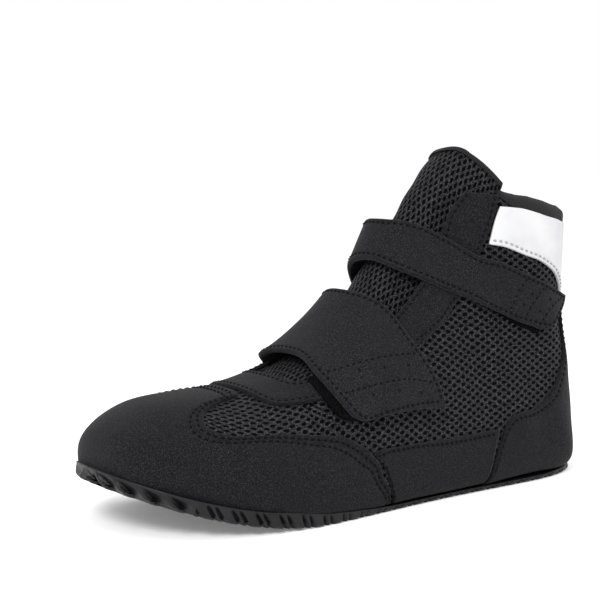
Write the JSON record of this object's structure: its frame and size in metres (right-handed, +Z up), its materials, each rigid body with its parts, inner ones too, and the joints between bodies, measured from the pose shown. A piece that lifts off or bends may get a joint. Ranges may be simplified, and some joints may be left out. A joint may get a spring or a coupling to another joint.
{
  "type": "wrestling shoe",
  "caption": "High-top wrestling shoe: thin cupped rubber sole, mesh bootee, sewn suede overlays, tongue, and hook-and-loop straps over instep and ankle.",
  "frame": {"origin": "on the ground under the middle of the heel pad of the tread", "axes": "+X from heel to toe, +Y to the outer side of the left foot, +Z up"},
  "size_m": [0.28, 0.1007, 0.1745],
  "materials": {
    "rubber": "satin moulded rubber",
    "mesh": "padded open mesh",
    "suede": "napped synthetic suede",
    "strap": "smooth synthetic leather with fine nap",
    "white_panel": "smooth white synthetic leather",
    "knit": "ribbed knit",
    "pile": "loop pile",
    "insole": "brushed fabric on foam"
  },
  "bodies": {
    "root": {"outsole": "rubber", "insole": "insole", "upper": "mesh", "toe_cap": "suede", "side_panel_lateral": "suede", "side_panel_medial": "suede", "heel_counter": "suede", "collar_panel": "white_panel", "eyestay": "suede", "collar_roll": "knit", "tongue": "mesh", "tongue_binding": "knit", "pile_patch_instep": "pile", "pile_patch_ankle": "pile", "strap_instep": "strap", "strap_ankle": "strap"}
  },
  "joints": []
}
